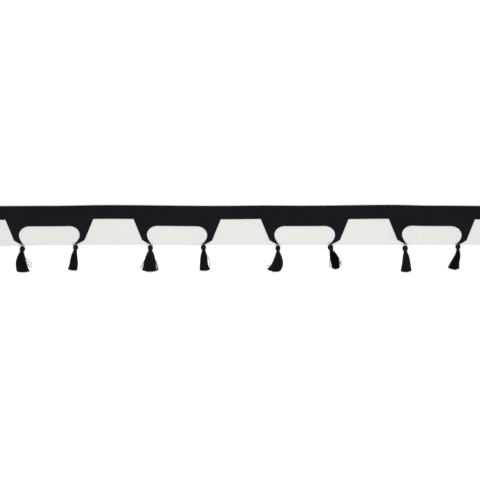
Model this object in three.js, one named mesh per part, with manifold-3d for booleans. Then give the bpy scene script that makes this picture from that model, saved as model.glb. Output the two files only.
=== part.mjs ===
// Pagoda trim: an ivory woven tape with a border of pagoda roofs cut from black cloth on its face,
// and a black thread tassel looped to the tip of every eave. It lies flat, face up.
// X runs along the tape, +Y points to the border's straight top edge, and Z = 0 is the surface
// it lies on, with the origin under the middle of the tape's back.
import * as THREE from "three";
import { mergeVertices } from "three/addons/utils/BufferGeometryUtils.js";
import Module from "manifold-3d";

const wasm = await Module();
wasm.setup();

// Driving dimensions, in millimetres.
const REPEAT = 160; // one roof and the gap beside it
const SEAT_GAP = 0.3; // between pieces that lie on each other
const TAPE = { width: 48, thick: 1 };

// The border: heights are above the tape's lower edge, and places out are from a roof's middle line.
const BORDER = { thick: 1, top: 49.4, bandFoot: 32.9, shoulder: 54.8 };
const KNEE = { out: 44, up: 6.5 }; // where the roof's slope turns under
const SAG = { out: 39.8, up: 3.1 }; // the pull of the curve from the knee to the tip
const TIP = { out: 33.3, up: 0.9, width: 0.8 };
const ARCH = { top: 24, flat: 26.6, radius: 11.3, turnBelow: Math.PI / 6 };
const ARC_STEPS = 7;
const EDGE_STEP = 20; // longest straight piece of the border's outline

// The roofs as they were cut: how far each sits off its place in the repeat, and how wide it spreads.
const ROOFS = [
  { shift: -0.2, spread: 1.005 },
  { shift: 0.1, spread: 0.997 },
  { shift: 0.2, spread: 1.003 },
  { shift: -0.6, spread: 0.98 },
];
const LENGTH = ROOFS.length * REPEAT;

// How the border was sewn on: its rise off a straight line at stations along the tape.
const SWAY_ROWS = [
  { at: -320, rise: -0.65 },
  { at: -240, rise: -0.28 },
  { at: -165, rise: 0.7 },
  { at: -30, rise: -0.4 },
  { at: 30, rise: 0.05 },
  { at: 75, rise: -0.2 },
  { at: 190, rise: 0.75 },
  { at: 240, rise: -0.15 },
  { at: 320, rise: -0.55 },
];

// A tassel's own parts.
const HEAD_RADIUS = 2.9;
const HEAD_FOOT = THREE.MathUtils.degToRad(-55); // how far below its middle the ball meets the neck
const NECK_RADIUS = 1.8;
const NECK_SINK = 0.8; // how far the neck's middle lies below the head's
const COLLAR_LENGTH = 1.3;
const LOOP = { radius: 0.35, halfWidth: 0.9, hold: 1.7, steps: 8, sides: 4 };
const ROUND_SIDES = 12;

// Where each tassel lies, from left to right. The head's middle is measured from the eave's tip, the
// neck from the head's middle, and the skirt's two edges from the neck at the stations below it.
const TASSEL_COLUMNS = [
  "across", "drop", "neckSide", "neckDown", "skirtLength",
  "shoulderLeft", "bellyLeft", "hemLeft", "shoulderRight", "bellyRight", "hemRight",
];
const TASSEL_ROWS = [
  [-0.3, 5.2, -0.6, 3.8, 25.2, -5.5, -7.2, -5.9, 3.8, 5.4, 9.9],
  [-0.3, 3.6, -0.4, 3.9, 25.2, -4.6, -6.2, -9.2, 2.0, 2.7, 2.1],
  [-0.3, 4.4, 0.2, 3.6, 26.8, -5.4, -7.9, -11.3, 4.4, 6.7, 10.2],
  [0.1, 3.4, 0.2, 4.5, 24.8, -3.5, -4.1, -4.8, 4.1, 4.6, 9.0],
  [-0.1, 4.3, 0.0, 4.5, 25.5, -3.6, -6.1, -15.5, 4.6, 6.0, 2.9],
  [-1.0, 3.6, 1.2, 4.5, 23.6, -2.0, -1.2, 1.0, 7.4, 9.9, 11.5],
  [-0.7, 5.3, 0.4, 4.3, 25.5, -2.9, -3.6, -6.2, 4.3, 5.8, 7.8],
  [0.3, 2.4, 0.0, 4.7, 24.7, -3.5, -7.2, -13.5, 2.7, 2.1, 1.2],
];
// Shares of the skirt's length at its root, shoulder, belly and hem.
const EDGE_STATIONS = [0, 0.25, 0.5, 1];
const TASSELS = TASSEL_ROWS.map((row) =>
  Object.fromEntries(row.map((value, i) => [TASSEL_COLUMNS[i], value])),
);

// The skirt's sections down its length: lift is the share of the neck's height above the surface
// that is left, and depth is how thick the threads lie there.
const SKIRT_SECTIONS = [
  { at: 0, lift: 1, depth: 1.6 },
  { at: 0.12, lift: 0.45, depth: 2.6 },
  { at: 0.4, lift: 0, depth: 3.4 },
  { at: 0.7, lift: 0, depth: 3.1 },
  { at: 1, lift: 0, depth: 2.6 },
];
// The skirt's strands lie in layers, the widest one on the surface.
const SKIRT_LAYERS = [
  { strands: 10, spread: 1 },
  { strands: 9, spread: 0.9 },
  { strands: 6, spread: 0.6 },
];
const SKIRT_ROOT = { halfWidth: 1.3, length: 1 };
const STRAND_FILL = { across: 0.8, high: 0.85 }; // a strand's share of its place in its layer
// The hem, as shares of the skirt's length: its crown, its tilt with the skirt's lean, and how far
// the cut ends differ, in uneven steps from strand to strand and from layer to layer.
const HEM = { crown: 0.08, tilt: 0.7, uneven: 0.03, strandStep: 0.618, layerStep: 0.37 };

const IVORY_TAPE = new THREE.MeshStandardMaterial({ color: 0xebe8e5, roughness: 0.9, metalness: 0 });
const BLACK_CLOTH = new THREE.MeshStandardMaterial({ color: 0x1c1b1f, roughness: 0.95, metalness: 0 });
const BLACK_THREAD = new THREE.MeshStandardMaterial({ color: 0x17171a, roughness: 0.6, metalness: 0 });

// The border's rise at any x, eased from one station to the next.
function swayAt(x) {
  const last = SWAY_ROWS.length - 1;
  const next = Math.max(1, SWAY_ROWS.findIndex((row, i) => x <= row.at || i === last));
  const [from, to] = [SWAY_ROWS[next - 1], SWAY_ROWS[next]];
  return THREE.MathUtils.lerp(from.rise, to.rise, THREE.MathUtils.smoothstep(x, from.at, to.at));
}

function roofMiddle(roof) {
  return (roof - (ROOFS.length - 1) / 2) * REPEAT + ROOFS[roof].shift;
}

// A closed outline with no straight piece longer than the step.
function withEdgesSplit(points, step) {
  return points.flatMap((point, i) => {
    const next = points[(i + 1) % points.length];
    const pieces = Math.max(1, Math.ceil(point.distanceTo(next) / step));
    return Array.from({ length: pieces }, (_, k) => point.clone().lerp(next, k / pieces));
  });
}

function groundTape() {
  const section = new THREE.Shape();
  section.moveTo(-TAPE.width / 2, 0);
  section.lineTo(TAPE.width / 2, 0);
  section.lineTo(TAPE.width / 2, TAPE.thick);
  section.lineTo(-TAPE.width / 2, TAPE.thick);
  const geometry = new THREE.ExtrudeGeometry(section, {
    depth: LENGTH,
    steps: ROOFS.length,
    bevelEnabled: false,
  });
  const tape = new THREE.Mesh(geometry, IVORY_TAPE);
  tape.name = "ground_tape";
  tape.rotation.set(Math.PI / 2, Math.PI / 2, 0);
  tape.position.x = -LENGTH / 2;
  return tape;
}

// A roof's lower outline about its own middle line, from its left shoulder to its right one.
function roofOutline() {
  const archMiddle = ARCH.top - ARCH.radius;
  const tipInner = TIP.out - TIP.width / 2;
  const tipOuter = TIP.out + TIP.width / 2;
  const outline = new THREE.Path();
  outline.moveTo(-BORDER.shoulder, BORDER.bandFoot);
  outline.lineTo(-KNEE.out, KNEE.up);
  outline.quadraticCurveTo(-SAG.out, SAG.up, -tipOuter, TIP.up);
  outline.lineTo(-tipInner, TIP.up);
  outline.absarc(-ARCH.flat, archMiddle, ARCH.radius, Math.PI + ARCH.turnBelow, Math.PI / 2, true);
  outline.absarc(ARCH.flat, archMiddle, ARCH.radius, Math.PI / 2, -ARCH.turnBelow, true);
  outline.lineTo(tipInner, TIP.up);
  outline.lineTo(tipOuter, TIP.up);
  outline.quadraticCurveTo(SAG.out, SAG.up, KNEE.out, KNEE.up);
  outline.lineTo(BORDER.shoulder, BORDER.bandFoot);
  return outline.getPoints(ARC_STEPS);
}

function pagodaBorder() {
  const end = LENGTH / 2;
  const roof = roofOutline();
  const outline = [
    new THREE.Vector2(-end, BORDER.top),
    new THREE.Vector2(-end, BORDER.bandFoot),
    ...ROOFS.flatMap(({ spread }, i) =>
      roof.map((p) => new THREE.Vector2(roofMiddle(i) + spread * p.x, p.y)),
    ),
    new THREE.Vector2(end, BORDER.bandFoot),
    new THREE.Vector2(end, BORDER.top),
  ];
  const swayed = withEdgesSplit(outline, EDGE_STEP).map(
    (p) => new THREE.Vector2(p.x, p.y + swayAt(p.x)),
  );
  const geometry = new THREE.ExtrudeGeometry(new THREE.Shape(swayed), {
    depth: BORDER.thick,
    bevelEnabled: false,
  });
  const border = new THREE.Mesh(geometry, BLACK_CLOTH);
  border.name = "pagoda_border";
  border.position.set(0, -TAPE.width / 2, TAPE.thick + SEAT_GAP);
  return border;
}

// A closed geometry as a solid that can be joined to others.
function solidOf(geometry) {
  geometry.deleteAttribute("normal");
  geometry.deleteAttribute("uv");
  const merged = mergeVertices(geometry);
  return new wasm.Manifold(
    new wasm.Mesh({
      numProp: 3,
      vertProperties: merged.getAttribute("position").array,
      triVerts: new Uint32Array(merged.index.array),
    }),
  );
}

function geometryOf(solid) {
  const mesh = solid.getMesh();
  const geometry = new THREE.BufferGeometry();
  geometry.setAttribute("position", new THREE.BufferAttribute(mesh.vertProperties, 3));
  geometry.setIndex(new THREE.BufferAttribute(mesh.triVerts, 1));
  geometry.computeVertexNormals();
  return geometry;
}

// A closed strand through rings of corners, its two ends flat.
function loftOf(rings) {
  const sides = rings[0].length;
  const lastRing = (rings.length - 1) * sides;
  const faces = [];
  for (let ring = 0; ring + 1 < rings.length; ring++) {
    for (let side = 0; side < sides; side++) {
      const [a, b] = [ring * sides + side, ring * sides + ((side + 1) % sides)];
      faces.push(a, b, a + sides, b, b + sides, a + sides);
    }
  }
  for (let side = 1; side + 1 < sides; side++) {
    faces.push(0, side + 1, side, lastRing, lastRing + side, lastRing + side + 1);
  }
  const geometry = new THREE.BufferGeometry();
  geometry.setFromPoints(rings.flat());
  geometry.setIndex(faces);
  return geometry;
}

// The height at which the head clears an edge, where it lies over it and not beside it.
function heightOver(edgeHeight, distance) {
  const clear = HEAD_RADIUS + SEAT_GAP;
  return distance < clear ? edgeHeight + Math.sqrt(clear ** 2 - distance ** 2) : 0;
}

// A tassel's places, measured from the surface under its eave's tip.
function tasselPlaces(row) {
  const tapeEdgeBelowTip = TIP.up + row.tipRise;
  const head = new THREE.Vector3(row.across, -row.drop, 0);
  head.z = Math.max(
    HEAD_RADIUS,
    heightOver(TAPE.thick, row.drop - tapeEdgeBelowTip),
    heightOver(TAPE.thick + SEAT_GAP + BORDER.thick, Math.hypot(row.across, row.drop)),
  );
  const neck = head.clone().add(new THREE.Vector3(row.neckSide, -row.neckDown, -NECK_SINK));
  return { head, neck, towardsHead: head.clone().sub(neck).normalize() };
}

// The ball head and the bound neck below it, turned on one axis.
function headAndNeck({ head, neck, towardsHead }) {
  const foot = -head.distanceTo(neck);
  const ball = Array.from({ length: ROUND_SIDES / 2 + 1 }, (_, i) => {
    const turn = THREE.MathUtils.lerp(HEAD_FOOT, Math.PI / 2, i / (ROUND_SIDES / 2));
    return new THREE.Vector2(HEAD_RADIUS * Math.cos(turn), HEAD_RADIUS * Math.sin(turn));
  });
  ball.at(-1).x = 0;
  const profile = [
    new THREE.Vector2(0, foot),
    new THREE.Vector2(NECK_RADIUS, foot),
    new THREE.Vector2(NECK_RADIUS, foot + COLLAR_LENGTH),
    ...ball,
  ];
  const geometry = new THREE.LatheGeometry(profile, ROUND_SIDES);
  const upright = new THREE.Vector3(0, 1, 0);
  geometry.applyQuaternion(new THREE.Quaternion().setFromUnitVectors(upright, towardsHead));
  geometry.translate(head.x, head.y, head.z);
  return geometry;
}

// The thread loop, from inside the head up over the eave's tip and back.
function hangingLoop({ head }) {
  const top = TAPE.thick + SEAT_GAP + BORDER.thick + SEAT_GAP + LOOP.radius;
  const legFoot = head.y + HEAD_RADIUS / 2;
  const legMiddle = (legFoot + HEAD_RADIUS / 2 + LOOP.hold) / 2;
  const path = new THREE.CatmullRomCurve3([
    new THREE.Vector3(head.x - LOOP.halfWidth, legFoot, head.z),
    new THREE.Vector3(head.x / 2 - LOOP.halfWidth, legMiddle, (head.z + top) / 2),
    new THREE.Vector3(0, LOOP.hold, top),
    new THREE.Vector3(head.x / 2 + LOOP.halfWidth, legMiddle, (head.z + top) / 2),
    new THREE.Vector3(head.x + LOOP.halfWidth, legFoot, head.z),
  ]);
  const thread = new THREE.Shape();
  thread.absarc(0, 0, LOOP.radius, 0, 2 * Math.PI);
  return new THREE.ExtrudeGeometry(new THREE.Shape(thread.getSpacedPoints(LOOP.sides).slice(1)), {
    extrudePath: path,
    steps: LOOP.steps,
  });
}

// An edge of the skirt: the smooth curve through its places at the stations.
function edgeAt(at, places) {
  return places.reduce((sum, place, i) => {
    const others = EDGE_STATIONS.filter((_, j) => j !== i);
    const weight = others.reduce((w, other) => (w * (at - other)) / (EDGE_STATIONS[i] - other), 1);
    return sum + weight * place;
  }, 0);
}

// The skirt's section at a share of its length: its two edges, its underside and its depth.
function skirtSection(row, neck, at) {
  const last = SKIRT_SECTIONS.length - 1;
  const next = Math.max(1, SKIRT_SECTIONS.findIndex((s, i) => at <= s.at || i === last));
  const [from, to] = [SKIRT_SECTIONS[next - 1], SKIRT_SECTIONS[next]];
  const share = (at - from.at) / (to.at - from.at);
  const raised = neck.z - SKIRT_SECTIONS[0].depth / 2;
  const leftEdge = [-SKIRT_ROOT.halfWidth, row.shoulderLeft, row.bellyLeft, row.hemLeft];
  const rightEdge = [SKIRT_ROOT.halfWidth, row.shoulderRight, row.bellyRight, row.hemRight];
  return {
    left: neck.x + edgeAt(at, leftEdge),
    right: neck.x + edgeAt(at, rightEdge),
    y: neck.y - row.skirtLength * at,
    floor: raised * THREE.MathUtils.lerp(from.lift, to.lift, share),
    depth: THREE.MathUtils.lerp(from.depth, to.depth, share),
  };
}

// A strand's three corners in its place of the section: a flat foot and a ridge.
function strandCorners(section, layer, across, halfPitch) {
  const middle = (section.left + section.right) / 2;
  const halfWidth = (section.right - section.left) / 2;
  const half = halfPitch * halfWidth * STRAND_FILL.across;
  const x = middle + across * halfWidth;
  const layerDepth = section.depth / SKIRT_LAYERS.length;
  const z = section.floor + layer * layerDepth;
  return [
    new THREE.Vector3(x - half, section.y, z),
    new THREE.Vector3(x + half, section.y, z),
    new THREE.Vector3(x, section.y, z + layerDepth * STRAND_FILL.high),
  ];
}

// The skirt's strands. The hem is crowned, square to the way the tassel leans, and a little uneven.
function skirtStrands(row, { neck, towardsHead }) {
  const hemLean = (row.hemLeft + row.hemRight) / 2 / row.skirtLength;
  const hemHalf = (row.hemRight - row.hemLeft) / 2;
  const tilt = (HEM.tilt * hemLean * hemHalf) / row.skirtLength;
  const intoCollar = towardsHead.clone().multiplyScalar(SKIRT_ROOT.length);
  return SKIRT_LAYERS.flatMap(({ strands, spread }, layer) =>
    Array.from({ length: strands }, (_, k) => {
      const halfPitch = spread / strands;
      const across = (2 * k + 1) * halfPitch - spread;
      const shorter = HEM.uneven * ((k * HEM.strandStep + layer * HEM.layerStep) % 1);
      const end = 1 - HEM.crown * across ** 2 - Math.max(0, tilt * across) - shorter;
      const rings = SKIRT_SECTIONS.map(({ at }) =>
        strandCorners(skirtSection(row, neck, Math.min(at, end)), layer, across, halfPitch),
      );
      const root = rings[0].map((corner) => corner.clone().add(intoCollar));
      return loftOf([root, ...rings]);
    }),
  );
}

function tassel(number, row, tip) {
  const places = tasselPlaces({ ...row, tipRise: tip.rise });
  const pieces = [
    headAndNeck(places),
    hangingLoop(places),
    ...skirtStrands(row, places),
  ];
  const joined = pieces.map(solidOf).reduce((whole, piece) => whole.add(piece));
  const mesh = new THREE.Mesh(geometryOf(joined), BLACK_THREAD);
  mesh.name = `tassel_${number}`;
  mesh.position.set(tip.x, TIP.up + tip.rise - TAPE.width / 2, 0);
  return mesh;
}

const trim = new THREE.Group();
trim.add(groundTape(), pagodaBorder());
TASSELS.forEach((row, i) => {
  const roof = Math.floor(i / 2);
  const side = i % 2 ? 1 : -1;
  const x = roofMiddle(roof) + side * ROOFS[roof].spread * TIP.out;
  trim.add(tassel(i + 1, row, { x, rise: swayAt(x) }));
});

export default trim;
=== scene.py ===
import math

import bmesh
import bpy
from mathutils import Matrix, Vector, kdtree, noise
from mathutils.geometry import delaunay_2d_cdt


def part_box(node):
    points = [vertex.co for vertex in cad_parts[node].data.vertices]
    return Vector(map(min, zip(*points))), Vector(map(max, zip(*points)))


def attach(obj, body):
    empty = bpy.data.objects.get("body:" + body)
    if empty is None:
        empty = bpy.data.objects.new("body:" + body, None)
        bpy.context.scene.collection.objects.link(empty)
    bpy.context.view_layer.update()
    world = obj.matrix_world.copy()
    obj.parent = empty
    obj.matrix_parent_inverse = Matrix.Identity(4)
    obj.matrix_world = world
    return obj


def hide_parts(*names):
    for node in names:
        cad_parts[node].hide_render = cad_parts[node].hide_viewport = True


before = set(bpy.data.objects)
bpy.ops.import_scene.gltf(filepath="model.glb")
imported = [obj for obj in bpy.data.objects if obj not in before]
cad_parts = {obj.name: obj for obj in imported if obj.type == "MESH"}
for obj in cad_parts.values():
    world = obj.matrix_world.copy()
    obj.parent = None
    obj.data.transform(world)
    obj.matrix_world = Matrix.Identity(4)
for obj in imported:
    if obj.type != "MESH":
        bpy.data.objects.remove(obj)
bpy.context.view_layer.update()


# Ground tape: the ivory cotton tape that carries everything else. It is plain woven, with the weft turned
# back along both sides as firm selvedges, and is cut straight across at both ends, where its yarns show.
# It lies flat on its back, with a slight sway.
MM = 0.001
TAPE_THICK, TAPE_STEP = 0.92 * MM, 4 * MM
# How far each selvedge is drawn in from the tape's full width, and how it wavers along its length.
DRAWN_IN, WAVER, WAVER_RUN = 0.09 * MM, 0.02 * MM, 23 * MM
EDGE_TURNS = (-80, -40, 0, 40, 80)  # the rounded edge's points, in degrees from its outermost one
EDGE_POINT = EDGE_TURNS.index(0)
# Places in from the selvedge, in millimetres, where the face's height is set, and the groove at one.
TAPE_INSETS = [0.5, 1.0, 1.5, 1.8, 2.1, 3.0, 6.0, 10.0, 15.0, 20.0]
GROOVE_INSET, GROOVE_WIDTH, GROOVE_DEPTH = 1.8, 0.25, 0.06 * MM
# The face's soft bumps: their height, their size along and across the tape, and their slice of the noise.
TAPE_BUMP, TAPE_BUMP_LONG, TAPE_BUMP_WIDE, TAPE_BUMP_SLICE = 0.03 * MM, 30 * MM, 14 * MM, 0.5
# The tape's rise off a straight line at places along it, in millimetres, as it was laid.
TAPE_SWAY = [
    (-320, -1.6), (-225, -0.12), (-150, -0.27), (-98, -0.1), (-66, -0.55), (-20, 0.1),
    (5, -0.13), (75, -0.27), (150, 0.09), (230, 0.2), (320, 0.14),
]
SHARP_ANGLE = math.radians(50)
TAPE_YARN = 0.55 * MM
# The yarn ends at a cut: their radius, how far they stand out and how far off the cloth's middle they are;
# then the sides of each, its lean and its least size.
TAPE_END_RADIUS, TAPE_END_REACH, TAPE_END_RISE = 0.24 * MM, 0.5 * MM, 0.13 * MM
YARN_END_SIDES, YARN_END_LEAN, YARN_END_LEAST = 7, (0.15, 0.15, 0), (0.8, 0.8, 0.3)
# The weft's turns along the selvedges: their pitch, their size along, into and up the edge, their slant,
# and how deep they sit.
TURN_PITCH, TURN_SLANT, TURN_INSET = 2 * TAPE_YARN, 0.5, 0.2 * MM
TURN_LENGTH, TURN_WIDTH, TURN_HEIGHT = 0.75 * MM, 0.5 * MM, 0.94 * MM
LAID_SIDES, LAID_LEAN = 6, 0.05
IVORY, IVORY_SHADE = (0.79, 0.772, 0.749, 1), (0.748, 0.73, 0.705, 1)
# The weave: the waves of its sway in a metre, how far a yarn dips where it crosses another, how far yarns
# differ in tone, the painted light on their crowns and the painted shade in their gaps, and their relief as
# a share of the yarn.
YARN_SWAYS, YARN_DIP, YARN_TONES = 220.0, 0.5, 0.4
CROWN_PAINTED_LIGHT, GAP_PAINTED_SHADE, YARN_RELIEF = 0.35, 0.2, 0.25


def feed(tree, node, feeds):
    """Feeds a node's inputs, each with a value, a socket or another node's first output."""
    for name, value in feeds.items():
        source = value.outputs[0] if isinstance(value, bpy.types.Node) else value
        if isinstance(source, bpy.types.NodeSocket):
            tree.links.new(source, node.inputs[name])
        else:
            node.inputs[name].default_value = source


def put(tree, kind, feeds=None, **settings):
    """A new node with its settings and with its inputs fed."""
    node = tree.nodes.new(kind)
    for name, value in settings.items():
        setattr(node, name, value)
    feed(tree, node, feeds or {})
    return node


def calc(tree, operation, *values):
    """A Math node on those values."""
    return put(tree, "ShaderNodeMath", dict(enumerate(values)), operation=operation)


def new_tree(name, kind, inputs, outputs):
    """An empty node group with named sockets: (tree, its inputs' sockets, its output node)."""
    tree = bpy.data.node_groups.new(name, kind)
    for side, sockets in (("INPUT", inputs), ("OUTPUT", outputs)):
        for socket, value in sockets.items():
            tree.interface.new_socket(socket, in_out=side, socket_type=f"NodeSocket{value}")
    return tree, put(tree, "NodeGroupInput").outputs, put(tree, "NodeGroupOutput")


def plain_weave_group():
    """Over-and-under yarns on the object's X and Y, each with its own tone, soft patches over all, and
    painted light on the crowns and painted shade in the gaps.
    """
    tree, given, out = new_tree(
        "plain_weave",
        "ShaderNodeTree",
        {"Yarn pitch": "Float", "Unevenness": "Float", "Patch scale": "Float"},
        {"Height": "Float", "Tone": "Float"},
    )
    place = put(tree, "ShaderNodeTexCoord").outputs["Object"]
    sway = put(tree, "ShaderNodeTexNoise", {"Vector": place, "Scale": YARN_SWAYS, "Detail": 2.0})
    centred = put(
        tree, "ShaderNodeVectorMath", {0: sway.outputs["Color"], 1: (0.5, 0.5, 0.5)}, operation="SUBTRACT"
    )
    swayed = put(
        tree,
        "ShaderNodeVectorMath",
        {0: centred, 1: given["Unevenness"], 2: place},
        operation="MULTIPLY_ADD",
    )
    at = put(tree, "ShaderNodeSeparateXYZ", {0: swayed})
    picks = calc(tree, "DIVIDE", at.outputs["X"], given["Yarn pitch"])
    ends = calc(tree, "DIVIDE", at.outputs["Y"], given["Yarn pitch"])
    pick_wave = calc(tree, "SINE", calc(tree, "MULTIPLY", picks, math.pi))
    end_wave = calc(tree, "SINE", calc(tree, "MULTIPLY", ends, math.pi))
    warp_over = calc(tree, "GREATER_THAN", calc(tree, "MULTIPLY", pick_wave, end_wave), 0.0)
    pick_round = calc(tree, "ABSOLUTE", pick_wave)
    end_round = calc(tree, "ABSOLUTE", end_wave)
    warp_crown = calc(tree, "MULTIPLY_ADD", pick_round, YARN_DIP, 1 - YARN_DIP)
    weft_crown = calc(tree, "MULTIPLY_ADD", end_round, YARN_DIP, 1 - YARN_DIP)
    warp = calc(tree, "MULTIPLY", end_round, warp_crown)
    weft = calc(tree, "MULTIPLY", pick_round, weft_crown)
    height = put(tree, "ShaderNodeMix", {0: warp_over, 2: weft, 3: warp})
    pick_tone, end_tone = [
        put(tree, "ShaderNodeTexWhiteNoise", {"W": calc(tree, "FLOOR", yarns)}, noise_dimensions="1D")
        for yarns in (picks, ends)
    ]
    own_tone = put(
        tree, "ShaderNodeMix", {0: warp_over, 2: pick_tone.outputs["Value"], 3: end_tone.outputs["Value"]}
    )
    yarn_tone = calc(tree, "MULTIPLY_ADD", own_tone, YARN_TONES, -YARN_TONES / 2)
    patches = put(
        tree, "ShaderNodeTexNoise", {"Vector": place, "Scale": given["Patch scale"], "Detail": 3.0}
    )
    tone = calc(tree, "ADD", patches.outputs["Fac"], yarn_tone)
    # Painted shade in the gaps between the yarns and painted light on their crowns, added to the tone.
    painted_crown_and_gap = calc(tree, "MULTIPLY_ADD", height, CROWN_PAINTED_LIGHT, -GAP_PAINTED_SHADE)
    feed(tree, out, {"Height": height, "Tone": calc(tree, "ADD", tone, painted_crown_and_gap)})
    return tree


def new_material(name, **sockets):
    """A material with the plain values of its Principled shader set: (material, tree, shader)."""
    material = bpy.data.materials.new(name)
    material.use_nodes = True
    shader = material.node_tree.nodes["Principled BSDF"]
    for socket, value in sockets.items():
        shader.inputs[socket.replace("_", " ")].default_value = value
    return material, material.node_tree, shader


def fibre_material(name, effect, values, shade, light, bump, depth, **sockets):
    """Cloth or thread, coloured from shade to light by an effect's Tone, with its Height in relief."""
    material, tree, shader = new_material(name, **sockets)
    fibre = put(tree, "ShaderNodeGroup", values, node_tree=effect)
    lit = put(tree, "ShaderNodeMix", {0: fibre.outputs["Tone"], 6: shade, 7: light}, data_type="RGBA")
    relief = put(
        tree, "ShaderNodeBump", {"Height": fibre.outputs["Height"], "Strength": bump, "Distance": depth}
    )
    feed(tree, shader, {"Base Color": lit.outputs[2], "Normal": relief})
    if "Roughness" in fibre.outputs:
        feed(tree, shader, {"Roughness": fibre.outputs["Roughness"]})
    return material


def add_piece(name, mesh, material, slot, *nodes):
    """A finished mesh as a piece of the trim, in the place of its CAD nodes."""
    mesh.materials.clear()
    mesh.materials.append(material)
    piece = bpy.data.objects.new(name, mesh)
    bpy.context.scene.collection.objects.link(piece)
    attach(piece, "root")
    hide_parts(*nodes)
    return piece


def shape_tree(name, sizes, counts):
    """An empty Geometry Nodes tree: lines, sizes, whole numbers and a material in, and a mesh out."""
    inputs = {"Lines": "Geometry", **dict.fromkeys(sizes, "Float"), **dict.fromkeys(counts, "Int")}
    return new_tree(name, "GeometryNodeTree", {**inputs, "Material": "Material"}, {"Mesh": "Geometry"})


def finish_tree(tree, given, out, geometry):
    """Ends a tree: the instances made real, with their material."""
    real = put(tree, "GeometryNodeRealizeInstances", {"Geometry": geometry})
    dyed = put(tree, "GeometryNodeSetMaterial", {"Geometry": real, "Material": given["Material"]})
    feed(tree, out, {"Mesh": dyed})
    return tree


def grown(name, tree, lines, values, unit=1, closed=False):
    """The plain mesh that a node tree makes of lines of points, with the tree's inputs set by name."""
    points, pairs = [], []
    for line in lines:
        first, last = len(points), len(points) + len(line) - 1
        pairs += [(i, i + 1) for i in range(first, last)]
        pairs += [(last, first)] if closed else []
        points += [p * unit for p in line]
    guide = bpy.data.meshes.new(name)
    guide.from_pydata(points, pairs, [])
    maker = bpy.data.objects.new(name, guide)
    bpy.context.scene.collection.objects.link(maker)
    modifier = maker.modifiers.new(name, "NODES")
    modifier.node_group = tree
    for socket in tree.interface.items_tree:
        if socket.in_out == "INPUT" and socket.name in values:
            modifier[socket.identifier] = values[socket.name]
    graph = bpy.context.evaluated_depsgraph_get()
    mesh = bpy.data.meshes.new_from_object(maker.evaluated_get(graph))
    bpy.data.objects.remove(maker)
    bpy.data.meshes.remove(guide)
    mesh.shade_smooth()
    return mesh


def merged(name, *parts):
    """One mesh made of several, which are removed."""
    whole = bmesh.new()
    for part in parts:
        whole.from_mesh(part)
        bpy.data.meshes.remove(part)
    mesh = bpy.data.meshes.new(name)
    whole.to_mesh(mesh)
    whole.free()
    return mesh


def spread_along(tree, given, pitch):
    """Points at that pitch along a tree's lines."""
    lines = put(tree, "GeometryNodeMeshToCurve", {"Mesh": given["Lines"]})
    return put(tree, "GeometryNodeResampleCurve", {"Curve": lines, "Length": given[pitch]}, mode="LENGTH")


def cut_end_tree():
    """Yarn ends side by side along lines at both ends of a cloth, by turns higher and lower."""
    tree, given, out = shape_tree(
        "cut_end_yarns", ["Yarn pitch", "Yarn radius", "Reach", "Rise"], ["Seed"]
    )
    number = put(tree, "GeometryNodeInputIndex")
    up_or_down = calc(tree, "MULTIPLY_ADD", calc(tree, "MODULO", number, 2.0), 2.0, -1.0)
    lift = put(tree, "ShaderNodeCombineXYZ", {2: calc(tree, "MULTIPLY", up_or_down, given["Rise"])})
    level = spread_along(tree, given, "Yarn pitch")
    places = put(tree, "GeometryNodeSetPosition", {"Geometry": level, "Offset": lift})
    depth = calc(tree, "MULTIPLY", given["Reach"], 2.0)
    yarn = put(
        tree,
        "GeometryNodeMeshCylinder",
        {"Vertices": YARN_END_SIDES, "Radius": given["Yarn radius"], "Depth": depth},
    )
    here = put(tree, "GeometryNodeInputPosition")
    outward = put(tree, "ShaderNodeVectorMath", {0: here, 1: (1, 0, 0)}, operation="MULTIPLY")
    straight = put(tree, "FunctionNodeAlignRotationToVector", {"Vector": outward}, axis="Z")
    lean = put(
        tree,
        "FunctionNodeRandomValue",
        {0: [-turn for turn in YARN_END_LEAN], 1: YARN_END_LEAN, "Seed": given["Seed"]},
        data_type="FLOAT_VECTOR",
    )
    askew = put(tree, "FunctionNodeRotateRotation", {0: straight, 1: lean}, rotation_space="LOCAL")
    size = put(
        tree,
        "FunctionNodeRandomValue",
        {0: YARN_END_LEAST, 1: (1, 1, 1), "Seed": calc(tree, "ADD", given["Seed"], 1)},
        data_type="FLOAT_VECTOR",
    )
    laid = put(
        tree,
        "GeometryNodeInstanceOnPoints",
        {"Points": places, "Instance": yarn, "Rotation": askew, "Scale": size},
    )
    return finish_tree(tree, given, out, laid)


def laid_thread_tree():
    """Short lengths of thread laid one after another along lines, each a ball drawn out to its size."""
    tree, given, out = shape_tree("laid_thread", ["Pitch", "Length", "Width", "Height", "Slant"], ["Seed"])
    ball = put(
        tree, "GeometryNodeMeshUVSphere", {"Segments": LAID_SIDES, "Rings": LAID_SIDES, "Radius": 0.5}
    )
    size = put(tree, "ShaderNodeCombineXYZ", {0: given["Length"], 1: given["Width"], 2: given["Height"]})
    thread = put(tree, "GeometryNodeTransform", {"Geometry": ball, "Scale": size})
    tangent = put(tree, "GeometryNodeInputTangent")
    along = put(tree, "FunctionNodeAlignRotationToVector", {"Vector": tangent}, axis="X")
    lean = put(
        tree,
        "FunctionNodeRandomValue",
        {2: -LAID_LEAN, 3: LAID_LEAN, "Seed": given["Seed"]},
        data_type="FLOAT",
    )
    askew = put(tree, "ShaderNodeCombineXYZ", {1: given["Slant"], 2: lean.outputs[1]})
    turned = put(tree, "FunctionNodeRotateRotation", {0: along, 1: askew}, rotation_space="LOCAL")
    laid = put(
        tree,
        "GeometryNodeInstanceOnPoints",
        {"Points": spread_along(tree, given, "Pitch"), "Instance": thread, "Rotation": turned},
    )
    return finish_tree(tree, given, out, laid)


def eased(rows, x):
    """The rise at x in rows of places and rises, eased from each place to the next."""
    for (x0, rise0), (x1, rise1) in zip(rows, rows[1:]):
        if x <= x1:
            break
    share = min(1, max(0, (x - x0) / (x1 - x0)))
    return rise0 + (rise1 - rise0) * share * share * (3 - 2 * share)


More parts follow.
